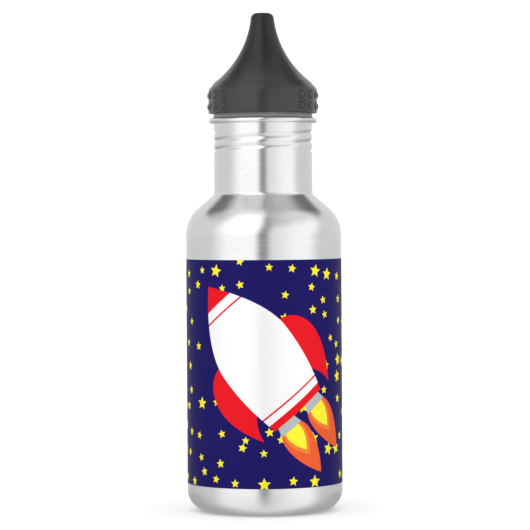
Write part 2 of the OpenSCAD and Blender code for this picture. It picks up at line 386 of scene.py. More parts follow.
def steel(name, tone=222, rough=0.18):
    """Stainless steel brushed round the axis: streaks that are long round the body and fine
    up it, slow clouding, and a duller finish on the stamped corner at the foot."""
    material, nodes, shader = new_material(name)
    colour = linear((tone, tone, tone + 1))
    place = nodes.add("ShaderNodeTexCoord").outputs["Object"]
    split = nodes.add("ShaderNodeSeparateXYZ", Vector=place)
    x, y, z = split.outputs
    r = nodes.math("SQRT", nodes.math("ADD", nodes.math("MULTIPLY", x, x),
                                      nodes.math("MULTIPLY", y, y)))
    r = nodes.math("MAXIMUM", r, 0.0005)
    across = nodes.math("MULTIPLY", r, 1500.0)
    streaks = nodes.add(
        "ShaderNodeCombineXYZ", X=nodes.math("MULTIPLY", nodes.math("DIVIDE", x, r), 5.0),
        Y=nodes.math("ADD", nodes.math("MULTIPLY", nodes.math("DIVIDE", y, r), 5.0), across),
        Z=nodes.math("MULTIPLY", z, 1500.0)).outputs[0]
    fine = nodes.noise(streaks, 1.0, detail=5.0, rough=0.7)
    brushed_part = nodes.ramp(z, 0.005, 0.016, 0.15, 1.0)
    fine = nodes.math("ADD", 0.5, nodes.math(
        "MULTIPLY", nodes.math("SUBTRACT", fine, 0.5), brushed_part))
    cloud = nodes.noise(place, 55.0, detail=2.0)
    mixed = nodes.math("ADD", nodes.math("MULTIPLY", fine, 0.7),
                       nodes.math("MULTIPLY", cloud, 0.3))
    nodes.set(shader, "Base Color", nodes.colours(
        mixed, [(0.3, shaded(colour, 0.92)), (0.5, colour), (0.7, shaded(colour, 1.06))]))
    nodes.set(shader, "Metallic", 1.0)
    dull_corner = nodes.ramp(z, 0.002, 0.013, 0.14, 0.0)
    nodes.set(shader, "Roughness", nodes.math(
        "ADD", nodes.ramp(mixed, 0.3, 0.7, rough - 0.03, rough + 0.05), dull_corner))
    nodes.set(shader, "Anisotropic", 0.5)
    nodes.set(shader, "Anisotropic Rotation", 0.25)
    tangent = nodes.add("ShaderNodeTangent")
    tangent.direction_type, tangent.axis = "RADIAL", "Z"
    nodes.set(shader, "Tangent", tangent.outputs[0])
    bumped(nodes, shader, fine, 0.00001, 0.18)
    return material


def moulded(name, colour, rough=0.45, grain=0.15, specular=0.5, sheen=0.0, through=0.0,
            painted_top_shade=None):
    """Moulded plastic or silicone: fine skin texture, slow shade changes, faint flow marks.
    The last argument, (z0, z1, factor), paints a shade on the top: the base colour is full below
    z0 and times factor above z1, and the surface is rougher there."""
    material, nodes, shader = new_material(name)
    colour = linear(colour)
    place = nodes.add("ShaderNodeTexCoord").outputs["Object"]
    skin = nodes.noise(place, 2600.0, detail=2.0)
    cloud = nodes.noise(place, 70.0, detail=3.0)
    flow = nodes.noise(nodes.add("ShaderNodeMapping", Vector=place,
                                 Scale=(120.0, 120.0, 900.0)).outputs[0], 1.0, detail=2.0)
    shade = nodes.math("ADD", nodes.math("MULTIPLY", cloud, 0.7),
                       nodes.math("MULTIPLY", flow, 0.3))
    tint = nodes.colours(
        shade, [(0.3, shaded(colour, 0.88)), (0.5, colour), (0.7, shaded(colour, 1.12))])
    gloss = nodes.ramp(
        nodes.math("ADD", nodes.math("MULTIPLY", skin, 0.5), nodes.math("MULTIPLY", cloud, 0.5)),
        0.3, 0.7, rough - 0.05, rough + 0.06)
    # Painted shade: from z0 up to z1 the base colour darkens to factor, so the top reads darker
    # as if shaded.
    if painted_top_shade:
        z = nodes.add("ShaderNodeSeparateXYZ", Vector=place).outputs[2]
        z0, z1, factor = painted_top_shade
        tint = nodes.scaled(tint, nodes.ramp(z, z0 * MM, z1 * MM, 1.0, factor))
        gloss = nodes.math("ADD", gloss, nodes.ramp(z, z0 * MM, z1 * MM, 0.0, 0.12))
    nodes.set(shader, "Base Color", tint)
    nodes.set(shader, "Roughness", gloss)
    nodes.set(shader, "Specular IOR Level", specular)
    nodes.set(shader, "Sheen Weight", sheen)
    nodes.set(shader, "Subsurface Weight", through)
    nodes.set(shader, "Subsurface Scale", 0.002)
    bumped(nodes, shader, skin, 0.00002, grain)
    return material


def ink(name, colour, rough=0.36, specular=0.05, sheen=0.22, uneven=0.06):
    """Printed ink on steel: a faint mottle, and the steel's sheen and brushing just showing
    through it."""
    material, nodes, shader = new_material(name)
    colour = linear(colour)
    place = nodes.add("ShaderNodeTexCoord").outputs["Object"]
    mottle = nodes.noise(place, 900.0, detail=3.0)
    brushing = nodes.noise(nodes.add("ShaderNodeMapping", Vector=place,
                                     Scale=(60.0, 60.0, 2600.0)).outputs[0], 1.0, detail=3.0)
    nodes.set(shader, "Base Color", nodes.colours(
        mottle, [(0.3, shaded(colour, 1 - uneven)), (0.5, colour),
                 (0.7, shaded(colour, 1 + uneven * 0.8))]))
    nodes.set(shader, "Roughness", nodes.ramp(
        nodes.math("ADD", nodes.math("MULTIPLY", mottle, 0.4),
                   nodes.math("MULTIPLY", brushing, 0.6)),
        0.3, 0.7, rough - 0.05, rough + 0.05))
    nodes.set(shader, "Specular IOR Level", specular)
    nodes.set(shader, "Specular Tint", (*colour, 1.0))
    nodes.set(shader, "Metallic", sheen)
    bumped(nodes, shader, brushing, 0.00001, 0.12)
    return material


STEEL = steel("brushed_steel")
GASKET = moulded("gasket_silicone", (150, 150, 152), rough=0.5, grain=0.1)
CAP = moulded("cap_plastic", (44, 44, 46), rough=0.42)
VALVE = moulded("natural_plastic", (214, 214, 214), rough=0.4, through=0.1)
CLEAR = moulded("clear_silicone", (222, 222, 224), rough=0.3, through=0.25)
RUBBER = moulded("ring_rubber", (26, 26, 26), rough=0.35)
SPOUT = moulded("spout_plastic", (58, 58, 60), rough=0.4)
BITE = moulded("bite_silicone", (140, 140, 142), rough=0.55, sheen=0.05)
# Above 186 mm the cover's colour is painted darker, a painted shade on its top; the real
# moulding is one colour.
COVER = moulded("cover_plastic", (46, 46, 47), rough=0.2, specular=0.45, grain=0.06,
                painted_top_shade=(186, 208, 0.1))


# --- Bottle -----------------------------------------------------------------------------

def shell_path(inset):
    """Body wall from the seam up over the shoulder to the neck."""
    mid_r = BODY_R - SHOULDER_R
    cone_r = mid_r + SHOULDER_R * math.cos(math.radians(SHOULDER_END))
    cone_z = SHOULDER_Z + SHOULDER_R * math.sin(math.radians(SHOULDER_END))
    fillet_mid_r = NECK_R + FILLET_R
    slope = math.radians(SHOULDER_END)
    fillet_z = cone_z + (FILLET_R - (fillet_mid_r - cone_r) * math.cos(slope)) / math.sin(slope)
    foot = (BODY_R - inset, SEAM_Z + 0.02)
    shoulder = arc((mid_r, SHOULDER_Z), SHOULDER_R - inset, 0, SHOULDER_END, 24)
    fillet = arc((fillet_mid_r, fillet_z), FILLET_R + inset, 180 + SHOULDER_END, 180, 12)
    cone = line(shoulder[-1], fillet[0], 6)[:-1]
    return [foot] + line(foot, shoulder[0], 24)[:-1] + shoulder + cone + fillet


def threaded(angle, r, z):
    """Presses the thread's groove into the neck."""
    band = THREAD_TOP - LEAD - 3 < z < THREAD_TOP + 3
    if band and r < NECK_R + 0.01:
        r -= THREAD_DEPTH * thread_at(angle, z, 0, GROOVE_HALF_W)
    return r, z


def steel_shell():
    """Drawn body, pressed thread and rolled rim in one sheet."""
    inner_r = NECK_R - SHEET_T
    axis_z = RIM_Z - ROLL_R
    near, far = (inner_r + ROLL_R, axis_z), (RIM_R - ROLL_R, axis_z)
    meet = 180 + math.degrees(math.acos((near[0] - NECK_R) / ROLL_R))
    outer, inner = shell_path(0), shell_path(SHEET_T)
    curl = arc(near, ROLL_R, meet, 270, 4) + arc(far, ROLL_R, -90, 90, 16)
    curl += arc(near, ROLL_R, 90, 180, 8)
    neck_levels = 110
    outline = [(BODY_R - SHEET_T + 0.02, SEAM_Z), (BODY_R - 0.02, SEAM_Z)]
    outline += outer + line(outer[-1], curl[0], neck_levels)[:-1] + curl
    outline += line(curl[-1], inner[-1], neck_levels)[:-1] + inner[::-1]
    piece = turned("steel_shell", outline, STEEL, angles=288, shape=threaded, sharp=40)
    return fit(piece, "bottle", "bottle_shell")


def steel_base():
    """Stamped pan: rounded corner, standing ring and a shallow recess."""
    flat_r, bend = BODY_R - CORNER_R - 1.5, 60
    outer_r, inner_r = RECESS * 0.8, RECESS * 1.2
    drop = (inner_r + outer_r) * math.sin(math.radians(bend))

    def pan_path(inset):
        corner = arc((BODY_R - CORNER_R, CORNER_R), CORNER_R - inset, 0, -90, 24)
        bend_out = arc((flat_r, outer_r), outer_r - inset, -90, -90 - bend, 8)
        bend_in = arc((flat_r - drop, RECESS - inner_r), inner_r + inset, 90 - bend, 90, 8)
        middle = line(bend_in[-1], (0, RECESS + inset), 10)
        return [(BODY_R - inset, SEAM_Z - 0.02)] + corner + bend_out + bend_in + middle

    outline = [(BODY_R - 0.02, SEAM_Z)] + pan_path(0) + pan_path(SHEET_T)[::-1]
    outline += [(BODY_R - SHEET_T + 0.02, SEAM_Z)]
    piece = turned("steel_base", outline, STEEL, angles=288, sharp=40)
    return fit(piece, "bottle", "base_pan")


# --- Printed wrap -----------------------------------------------------------------------
# Places on the wrap are (s, z): s runs round the body from -Y towards +X.

ROUND = 2 * math.pi * BODY_R
TILT = math.radians(51.7)
NOSE = (-27.2, 101.8)
HULL_HALF_W = 18.2
HULL_WIDEST = 36.0
HULL_END = 69.7
NOZZLE_AT = 8.0
NOZZLE_END = 73.6
INKS = {
    "wrap_sky": (32, 26, 92),
    "wrap_stars": (238, 224, 44),
    "rocket_red": (219, 28, 37),
    "rocket_hull": (237, 236, 238),
    "rocket_nozzles": (172, 176, 178),
    "flame_outer": (224, 93, 51),
    "flame_middle": (226, 126, 56),
    "flame_inner": (238, 228, 56),
}


def on_rocket(u, w):
    """Wrap place of a point u behind the nose and w to its right."""
    return (NOSE[0] + u * math.cos(TILT) + w * math.sin(TILT),
            NOSE[1] - u * math.sin(TILT) + w * math.cos(TILT))


def curve(points, steps=14):
    """Points on a Bezier curve of any degree, without its first."""
    out = []
    for k in range(1, steps + 1):
        t, level = k / steps, points
        while len(level) > 1:
            level = [tuple(a + (b - a) * t for a, b in zip(p, q))
                     for p, q in zip(level, level[1:])]
        out.append(level[0])
    return out


def hull_half_w(u):
    if u < HULL_WIDEST:
        return HULL_HALF_W * (1 - ((HULL_WIDEST - u) / HULL_WIDEST) ** 1.8)
    return HULL_HALF_W - 3.6 * ((u - HULL_WIDEST) / 33) ** 2


def hull_band(u0, u1, steps):
    side = [(u0 + (u1 - u0) * k / steps) for k in range(steps + 1)]
    right = [on_rocket(u, hull_half_w(u)) for u in side]
    left = [on_rocket(u, -hull_half_w(u)) for u in reversed(side)]
    if u0 == 0:
        left = left[:-1]
    return right + left


def fin(side):
    outer = [(32, 17.5)] + curve([(32, 17.5), (33, 28), (48, 35), (70.4, 21.1)], 24)
    outer += curve([(70.4, 21.1), (64.5, 20.8), (58.8, 16.2)], 12) + [(50, 12)]
    return [on_rocket(u, side * w) for u, w in outer]


def nozzle(side):
    """Grey trapezium behind the hull, wider at its open end."""
    corners = [(69.6, 3.4), (69.6, 12.6), (NOZZLE_END, 13.8), (NOZZLE_END, 2.2)]
    return [on_rocket(u, side * w) for u, w in corners]


def flame(side, half_w, belly, tip):
    """Leaf shape from the nozzle to tip, half_w wide at its root and swelling to belly."""
    u0, reach = NOZZLE_END, tip - NOZZLE_END
    right = curve([(u0, half_w), (u0 + 0.2 * reach, belly), (u0 + 0.64 * reach, belly * 0.75),
                   (tip, 0)], 18)
    left = [(u, -w) for u, w in reversed(right[:-1])]
    shape = [(u0, half_w)] + right + left + [(u0, -half_w)]
    return [on_rocket(u, side * NOZZLE_AT + w) for u, w in shape]


def star(s, z, r, tilt):
    out = []
    for k in range(10):
        a = math.radians(90 + tilt + 36 * k)
        reach = r if k % 2 == 0 else r * 0.47
        out.append((s + reach * math.cos(a), z + reach * math.sin(a)))
    return out


def scattered_stars():
    """One star in each cell of a grid, moved, tilted and sized at random."""
    chance = random.Random(11)
    columns, rows = 21, 10
    cell_s, cell_z = ROUND / columns, (PRINT_Z1 - PRINT_Z0 + 2) / rows
    out = []
    for i in range(columns):
        for k in range(rows):
            s = (i + 0.5 + chance.uniform(-0.36, 0.36)) * cell_s - ROUND / 2
            z = (k + 0.5 + chance.uniform(-0.36, 0.36)) * cell_z + PRINT_Z0 - 1
            r = 3.0 if chance.random() < 0.22 else chance.uniform(1.75, 2.2)
            tilt = chance.uniform(-16, 16)
            if chance.random() < 0.12:
                continue
            if abs(s) < ROUND / 2 - 3.2:
                out.append(star(s, z, r, tilt))
    return out


def artwork():
    """(ink, outline) from the lowest layer to the highest."""
    layers = [("wrap_stars", outline) for outline in scattered_stars()]
    layers += [("rocket_red", fin(1)), ("rocket_red", fin(-1))]
    layers.append(("rocket_hull", hull_band(0, HULL_END, 48)))
    for u0, u1 in ((0, 9.3), (13.3, 14.1), (62.3, 63.1), (66.3, HULL_END)):
        layers.append(("rocket_red", hull_band(u0, u1, 6)))
    layers += [("rocket_nozzles", nozzle(1)), ("rocket_nozzles", nozzle(-1))]
    for side in (1, -1):
        layers.append(("flame_outer", flame(side, 5.8, 8.8, 98.6)))
        layers.append(("flame_middle", flame(side, 4.6, 6.4, 88.2)))
        layers.append(("flame_inner", flame(side, 3.7, 4.8, 85.4)))
    return layers


def anticlockwise(outline):
    area = sum(a[0] * b[1] - a[1] * b[0] for a, b in zip(outline, outline[1:] + outline[:1]))
    return outline if area > 0 else outline[::-1]


def wrap_triangles(layers, meridians=240):
    """The unrolled wrap cut into triangles along every outline and meridian, and the top
    layer's ink of each."""
    half = ROUND / 2
    verts = [Vector(p) for p in ((-half, PRINT_Z0), (half, PRINT_Z0),
                                 (half, PRINT_Z1), (-half, PRINT_Z1))]
    edges, polygons, inks = [], [[0, 1, 2, 3]], ["wrap_sky"]
    for i in range(1, meridians):
        s = -half + ROUND * i / meridians
        edges.append((len(verts), len(verts) + 1))
        verts += [Vector((s, PRINT_Z0)), Vector((s, PRINT_Z1))]
    for ink_name, outline in layers:
        polygons.append(list(range(len(verts), len(verts) + len(outline))))
        verts += [Vector(p) for p in anticlockwise(outline)]
        inks.append(ink_name)
    places, _, faces, _, _, sources = delaunay_2d_cdt(verts, edges, polygons, 1, 1e-5)
    labelled = [(face, inks[max(source)]) for face, source in zip(faces, sources) if 0 in source]
    return places, labelled


def ink_sheet(name, places, faces, material):
    """A thin closed sheet of ink round the body. Its faces are shaded as a true cylinder."""
    index, flat = {}, []

    def vertex(i):
        s, z = places[i]
        s = s if s < ROUND / 2 - 1e-4 else s - ROUND
        key = (round(s, 3), round(z, 3))
        if key not in index:
            index[key] = len(flat)
            flat.append((s, z))
        return index[key]

    front = []
    for face in faces:
        a, b, c = [places[i] for i in face]
        turn = (b[0] - a[0]) * (c[1] - a[1]) - (b[1] - a[1]) * (c[0] - a[0])
        ids = [vertex(i) for i in (face if turn > 0 else face[::-1])]
        if len(set(ids)) == 3 and abs(turn) > 1e-7:
            front.append(ids)
    around = [(math.sin(s / BODY_R), -math.cos(s / BODY_R)) for s, z in flat]
    verts = [(PRINT_R * x, PRINT_R * y, z) for (x, y), (s, z) in zip(around, flat)]
    verts += [((PRINT_R - PRINT_T) * x, (PRINT_R - PRINT_T) * y, z)
              for (x, y), (s, z) in zip(around, flat)]
    count = len(flat)
    sides = {(ids[k], ids[(k + 1) % 3]) for ids in front for k in range(3)}
    rim = [(i, j) for i, j in sorted(sides) if (j, i) not in sides]
    faces3d = list(front)
    faces3d += [[count + i for i in reversed(ids)] for ids in front]
    faces3d += [[j, i, count + i, count + j] for i, j in rim]
    mesh = bpy.data.meshes.new(name)
    mesh.from_pydata([Vector(v) * MM for v in verts], [], faces3d)
    normals = [(*around[i], 0) for ids in front for i in ids]
    normals += [(-around[i][0], -around[i][1], 0) for ids in front for i in reversed(ids)]
    normals += [(0, 0, 0)] * (4 * len(rim))
    mesh.polygons.foreach_set("use_smooth", [True] * (2 * len(front)) + [False] * len(rim))
    mesh.normals_split_custom_set(normals)
    mesh.materials.append(material)
    piece = bpy.data.objects.new(name, mesh)
    bpy.context.scene.collection.objects.link(piece)
    return piece


# White ink is laid on evenly and shows more of the steel's sheen.
PALE_INK = {"sheen": 0.4, "uneven": 0.015}


def printed_wrap():
    places, labelled = wrap_triangles(artwork())
    for name, colour in INKS.items():
        faces = [face for face, ink_name in labelled if ink_name == name]
        finish = PALE_INK if name == "rocket_hull" else {}
        piece = ink_sheet(name, places, faces, ink(name + "_ink", colour, **finish))
        fit(piece, "bottle", "print_wrap")


# --- Cap --------------------------------------------------------------------------------

def neck_gasket():
    z0, z1 = bottom("cap_gasket"), top("cap_gasket")
    bore, foot = PLUG_R + 0.15, radius("cap_gasket")
    bead = arc((foot - 0.5, z0 + 1.05), 0.35, -50, 70, 10)
    outline = softened([(bore, z0, 0.2), (foot, z0, 0.12), (*bead[0], 0.1)])[:-1]
    outline = outline + bead + softened([(*bead[-1], 0), (foot - 0.62, z1, 0.12),
                                         (bore, z1, 0.2)])
    piece = turned("neck_gasket", outline, GASKET, angles=192, sharp=60)
    return fit(piece, "seal", "cap_gasket")


def near_key(angle, half_w, r):
    """True within a key or its slot, whose half width is given at radius r."""
    off = angle % (360 / KEYS) - 180 / KEYS
    return abs(off) <= math.degrees(math.asin(half_w / r)) + 1e-6


def key_angles(half_w, r, extra=()):
    """Even angles, with a close pair on each side of every key so that its walls are steep."""
    edge = math.degrees(math.asin(half_w / r))
    step = 360 / KEYS
    out = {round(1.25 * i, 4) for i in range(288)} | {round(a % 360, 4) for a in extra}
    for i in range(KEYS):
        mid = step * (i + 0.5)
        for side in (-1, 1):
            out |= {round(mid + side * edge, 4), round(mid + side * (edge + 0.06), 4)}
    return sorted(out)


def plug_steps():
    """Outside of the plug from its lower end to the seat, fine where the thread runs."""
    root_r = PLUG_R + 0.2
    z0, z1 = PLUG_Z + 0.7, THREAD_TOP + 0.3
    return ([(PLUG_R - 0.5, PLUG_Z), (PLUG_R, PLUG_Z + 0.5), (PLUG_R, z0), (root_r, z0 + 0.1)]
            + line((root_r, z0 + 0.1), (root_r, z1), 50) + [(PLUG_R, z1 + 0.1)])


def cap_shape(angle, r, z):
    """Thread ridges on the plug, and a slot in the brim for each key of the cover."""
    if z < THREAD_TOP + 0.31 and r > PLUG_R + 0.1:
        r += RIDGE_H * thread_at(angle, z, LEAD / STARTS / 2, RIDGE_HALF_W)
    floor_r = BRIM_R - KEY_DEPTH - KEY_GAP
    if z > MOAT_Z + 0.01 and r > floor_r and near_key(angle, KEY_W / 2 + KEY_GAP, BRIM_R):
        r = floor_r
    return r, z


def joined(piece, operation, solids):
    """Adds closed (verts, faces) solids to a piece or cuts them out of it, one at a time."""
    for verts, faces in solids:
        tool = object_from(piece.name + "_tool", verts, faces, piece.data.materials[0])
        step = piece.modifiers.new("join", "BOOLEAN")
        step.operation, step.solver, step.object = operation, "EXACT", tool
        graph = bpy.context.evaluated_depsgraph_get()
        mesh = bpy.data.meshes.new_from_object(piece.evaluated_get(graph))
        piece.modifiers.clear()
        piece.data = mesh
        bpy.data.objects.remove(tool)
    piece.data.shade_smooth()
    piece.data.set_sharp_from_angle(angle=math.radians(40))


def rod(r, z0, z1, at=(0.0, 0.0), steps=48):
    return revolved([(0, z0), (r, z0), (r, z1), (0, z1)], steps, at=at)


def bar(length, width, z0, z1, turn):
    """Box from the axis outwards."""
    a = math.radians(turn)
    verts = [(x * math.cos(a) - y * math.sin(a), x * math.sin(a) + y * math.cos(a), z)
             for z in (z0, z1)
             for x, y in ((0, -width / 2), (length, -width / 2),
                          (length, width / 2), (0, width / 2))]
    faces = [[3, 2, 1, 0], [4, 5, 6, 7], [0, 1, 5, 4], [1, 2, 6, 5], [2, 3, 7, 6], [3, 0, 4, 7]]
    return verts, faces


def cap_body():
    """Plug, brim, dome, vent well and spout tower in one moulding."""
    groove_r = RING_MID_R - RING_R
    upstand_r, dome_r, deck_r = BRIM_R - 1.45, 19.4, 9.8
    bore_r = PLUG_R - CAP_WALL
    above = softened([
        (PLUG_R, SEAT_Z, 0.1), (BRIM_R, SEAT_Z, 0.3), (BRIM_R, MOAT_Z, 0),
        (BRIM_R, MOAT_Z + 0.05, 0), (BRIM_R, BRIM_TOP, 0.5), (upstand_r, BRIM_TOP, 0.3),
        (upstand_r, MOAT_Z, 0.5), (dome_r, MOAT_Z, 0.8), (deck_r, DECK_Z, 1.6),
        (TOWER_R, DECK_Z, 0.3), (TOWER_R, LAND_Z, 0.15), (LAND_R, LAND_Z, 0.15),
        (LAND_R, RING_Z - RING_R, 0.1), (groove_r, RING_Z - RING_R, 0.15),
        (groove_r, RING_Z + RING_R, 0.15), (LAND_R, RING_Z + RING_R, 0.1),
        (LAND_R, TOWER_TOP, 0.5), (TOWER_BORE_R, TOWER_TOP, 0.25),
        (TOWER_BORE_R, DECK_UNDER, 0.2), (deck_r - 0.8, DECK_UNDER, 0.8),
        (bore_r, MOAT_Z - CAP_WALL, 1.5), (bore_r, PLUG_Z, 0.2)])
    outline = plug_steps() + above
    angles = key_angles(KEY_W / 2 + KEY_GAP, BRIM_R)
    piece = turned("cap_body", outline, CAP, angles=angles, shape=cap_shape)
    at = (0, VENT_Y)
    floor = VENT_FLOOR + VENT_FLOOR_T
    joined(piece, "UNION", [revolved(softened([
        (0, VENT_FLOOR, 0), (VENT_WELL_R + 1, VENT_FLOOR, 0.2),
        (VENT_WELL_R + 1, DECK_UNDER + 0.6, 0.35), (0, DECK_UNDER + 0.6, 0)]), 64, at=at)])
    holes = [rod(VENT_WELL_R, floor, DECK_Z + 1, at, 64),
             rod(VENT_STEM_R + 0.02, VENT_FLOOR - 1, DECK_Z, at, 32)]
    for i in range(3):
        turn = math.radians(90 + 120 * i)
        place = (VENT_HOLE_AT * math.cos(turn), VENT_Y + VENT_HOLE_AT * math.sin(turn))
        holes.append(rod(VENT_HOLE_R, VENT_FLOOR - 1, DECK_Z, place, 24))
    joined(piece, "DIFFERENCE", holes)
    return fit(piece, "cap", "cap_base")


def spout_post():
    """Snap-in hub with three spokes that carry the post up the tower's bore."""
    z0, hub_r = bottom("valve_post"), TOWER_BORE_R - 0.02
    hub_top = DECK_UNDER + 2.2
    barb = CEILING_Z + 2.5
    hub = softened([(hub_r - 0.9, z0), (hub_r + 1, z0, 0.2), (hub_r + 1, DECK_UNDER, 0.1),
                    (hub_r, DECK_UNDER, 0.1), (hub_r, hub_top, 0.2), (hub_r - 0.9, hub_top)],
                   default=0.15)
    piece = turned("spout_post", hub, VALVE, angles=96)
    shaft = [(0, z0), (POST_R, z0), (POST_R, barb), (BARB_R, barb), (BARB_R, barb + 0.3),
             (BARB_POINT_R, barb + 1.1), (0, barb + 1.1)]
    spokes = [bar(hub_r - 0.5, 1.1, z0 + 0.02, hub_top - 0.4, 120 * i) for i in range(3)]
    joined(piece, "UNION", spokes + [revolved(shaft, 48)])
    return fit(piece, "cap", "valve_post")


def post_tip_seal():
    """Soft plug on the head of the post, which closes the spout's outlet when it is down."""
    z0, z1 = bottom("post_seal"), top("post_seal")
    r, barb = OUTLET_R - 0.08, z0 + 1.6
    socket_r, hook_r = POST_R + 0.02, BARB_R + 0.02
    outline = [(socket_r, z0), (r - 0.3, z0), (r, z0 + 0.4)]
    outline += arc((r - 0.6, z1 - 0.6), 0.6, 0, 90, 8) + [(0, z1), (0, barb + 1.12)]
    outline += [(BARB_POINT_R, barb + 1.12), (hook_r, barb + 0.3), (hook_r, barb - 0.02),
                (socket_r, barb - 0.02)]
    piece = turned("post_tip_seal", outline, CLEAR, angles=96, sharp=40)
    return fit(piece, "cap", "post_seal")


def tower_ring():
    ring = arc((RING_MID_R, RING_Z), RING_R - 0.01, 0, 360, 24)[:-1]
    piece = turned("tower_ring", ring, RUBBER, angles=144)
    return fit(piece, "cap", "tower_oring")


def vent_flap():
    """Umbrella valve: a flap under the vent's floor on a stem with a retaining bulb."""
    z0, z1, r = VENT_FLOOR, VENT_FLOOR + VENT_FLOOR_T, 3.0
    outline = [(0, z0 - 0.9), (r - 1, z0 - 0.9), (r - 0.35, z0 - 0.6), (r, z0 - 0.35), (r, z0),
               (VENT_STEM_R, z0), (VENT_STEM_R, z1), (VENT_STEM_R + 0.35, z1 + 0.2),
               (VENT_STEM_R + 0.3, z1 + 0.7), (0.5, z1 + 1.5), (0, z1 + 1.5)]
    piece = turned("vent_flap", softened(outline, 0.12), CLEAR, angles=64, at=(0, VENT_Y))
    return fit(piece, "cap", "vent_valve")


# --- Spout ------------------------------------------------------------------------------

def pull_sleeve():
    """Sleeve that slides on the tower, with a finger flange and the outlet's nose."""
    flange_r, lip_r, bore_r = SLEEVE_R + 1.5, TOWER_R + 0.1, LAND_R + 0.2
    outline = [
        (lip_r, SLEEVE_Z, 0.15), (flange_r, SLEEVE_Z, 0.45), (flange_r, SLEEVE_Z + 1.5, 0.5),
        (SLEEVE_R, SLEEVE_Z + 2, 0.5), (SLEEVE_R, SLEEVE_SHOULDER - 1.2, 0.3),
        (SLEEVE_R - 1.2, SLEEVE_SHOULDER, 0.2), (NOSE_R, SLEEVE_SHOULDER, 0.15),
        (NOSE_R, SLEEVE_TOP, 0.2),
        (OUTLET_R, SLEEVE_TOP, 0.3), (OUTLET_R, CEILING_Z, 0.2), (bore_r, CEILING_Z, 0.15),
        (bore_r, LIP_TOP, 0.1), (lip_r, LIP_TOP, 0.15)]
    piece = turned("pull_sleeve", softened(outline), SPOUT, angles=144)
    return fit(piece, "spout", "spout_sleeve")


def bite_skin():
    """Soft skin over the sleeve's upper half, with a waist below its rounded lip."""
    foot, skin = SLEEVE_Z + 2.4, 0.75
    mid = (SLEEVE_R - 2.2, SLEEVE_TOP - 1.1)
    lower = softened([(SLEEVE_R, foot, 0.05), (SLEEVE_R + skin, foot + 0.1, 0.3),
                      (SLEEVE_R + skin - 0.2, SLEEVE_SHOULDER - 1.9, 0.8),
                      (SLEEVE_R - 0.85, SLEEVE_SHOULDER + 0.4, 0.25),
                      (mid[0] + 0.6, mid[1] - 1.2, 0)])
    upper = arc(mid, 1.3, -55, 90, 16) + arc((OUTLET_R + 1, SLEEVE_TOP), 0.2, 90, 175, 5)
    inner = [(NOSE_R, SLEEVE_TOP), (NOSE_R, SLEEVE_SHOULDER), (SLEEVE_R - 1.2, SLEEVE_SHOULDER),
             (SLEEVE_R, SLEEVE_SHOULDER - 1.2)]
    piece = turned("bite_skin", lower[:-1] + upper + inner, BITE, angles=144, sharp=50)
    return fit(piece, "spout", "mouthpiece")


# --- Dust cover -------------------------------------------------------------------------

DOT_ANGLES = [side + DOT_PITCH * (i - (DOTS_PER_SIDE - 1) / 2)
              for side in (0, 180) for i in range(DOTS_PER_SIDE)]


def dot_rise(angle, z):
    """How far a round grip dot stands proud here, or how deep the fine groove round it is."""
    for row in DOT_ROWS:
        if abs(z - row) < DOT_R + DOT_RING_W:
            for mid in DOT_ANGLES:
                off = (angle - mid + 180) % 360 - 180
                away = math.hypot(math.radians(off) * COVER_R, z - row)
                if away < DOT_R:
                    return DOT_H * (1 - (away / DOT_R) ** 3.2)
                if away < DOT_R + DOT_RING_W:
                    return -DOT_RING_DEPTH * math.sin(math.pi * (away - DOT_R) / DOT_RING_W)
    return 0.0


def cover_shape(angle, r, z):
    """Grip dots outside, and inside the skirt a rib for each key."""
    if abs(r - COVER_R) < 0.02:
        r += dot_rise(angle, z)
    elif MOAT_Z + 0.31 < z < BRIM_TOP + 0.1 and abs(r - SKIRT_BORE_R) < 0.02:
        if near_key(angle, KEY_W / 2, BRIM_R):
            r = BRIM_R - KEY_DEPTH
    return r, z


def flank_angle(z, r):
    return 180 + math.degrees(math.asin((FLANK_MID[1] - z) / r))


def cover_shell():
    """Tapered dust cover: skirt with grip dots, concave flank and a rounded tip."""
    knob_z = COVER_TOP - KNOB_R
    skirt = softened([(SKIRT_BORE_R, COVER_Z, 0.25), (COVER_R, COVER_Z, 0.3),
                      (COVER_R, COVER_Z + 1.2, 0)])[1:]
    outside = skirt + line(skirt[-1], (COVER_R, SKIRT_ROUND_Z), 52)
    outside += arc((COVER_R - SKIRT_ROUND_R, SKIRT_ROUND_Z), SKIRT_ROUND_R, 0, 48, 10)[1:]
    outside += arc(FLANK_MID, FLANK_R, flank_angle(FLANK_FOOT_Z, FLANK_R),
                   flank_angle(knob_z, FLANK_R), 60)
    outside += arc((KNOB_MID_R, knob_z), KNOB_R, 2, 90, 20) + [(0, COVER_TOP)]
    inner_r, ledge_r = FLANK_R + COVER_T, BRIM_R - 0.7
    ceiling_z = COVER_TOP - 2.6 * COVER_T
    ledge_z = BRIM_TOP + 0.08
    foot_z = FLANK_MID[1] - math.sqrt(inner_r ** 2 - (FLANK_MID[0] - ledge_r) ** 2)
    inside = [(0, ceiling_z)]
    inside += arc(FLANK_MID, inner_r, flank_angle(ceiling_z, inner_r),
                  flank_angle(foot_z, inner_r), 40)
    inside += [(ledge_r, ledge_z), (SKIRT_BORE_R, ledge_z), (SKIRT_BORE_R, MOAT_Z + 0.35),
               (SKIRT_BORE_R, MOAT_Z + 0.3)]
    around = [mid + 0.42 * k for mid in DOT_ANGLES for k in range(-12, 13)]
    angles = key_angles(KEY_W / 2, BRIM_R, around)
    piece = turned("cover_shell", outside + inside, COVER, angles=angles, shape=cover_shape,
                   sharp=35)
    return fit(piece, "cover", "dust_cover")


# --- Stage ------------------------------------------------------------------------------

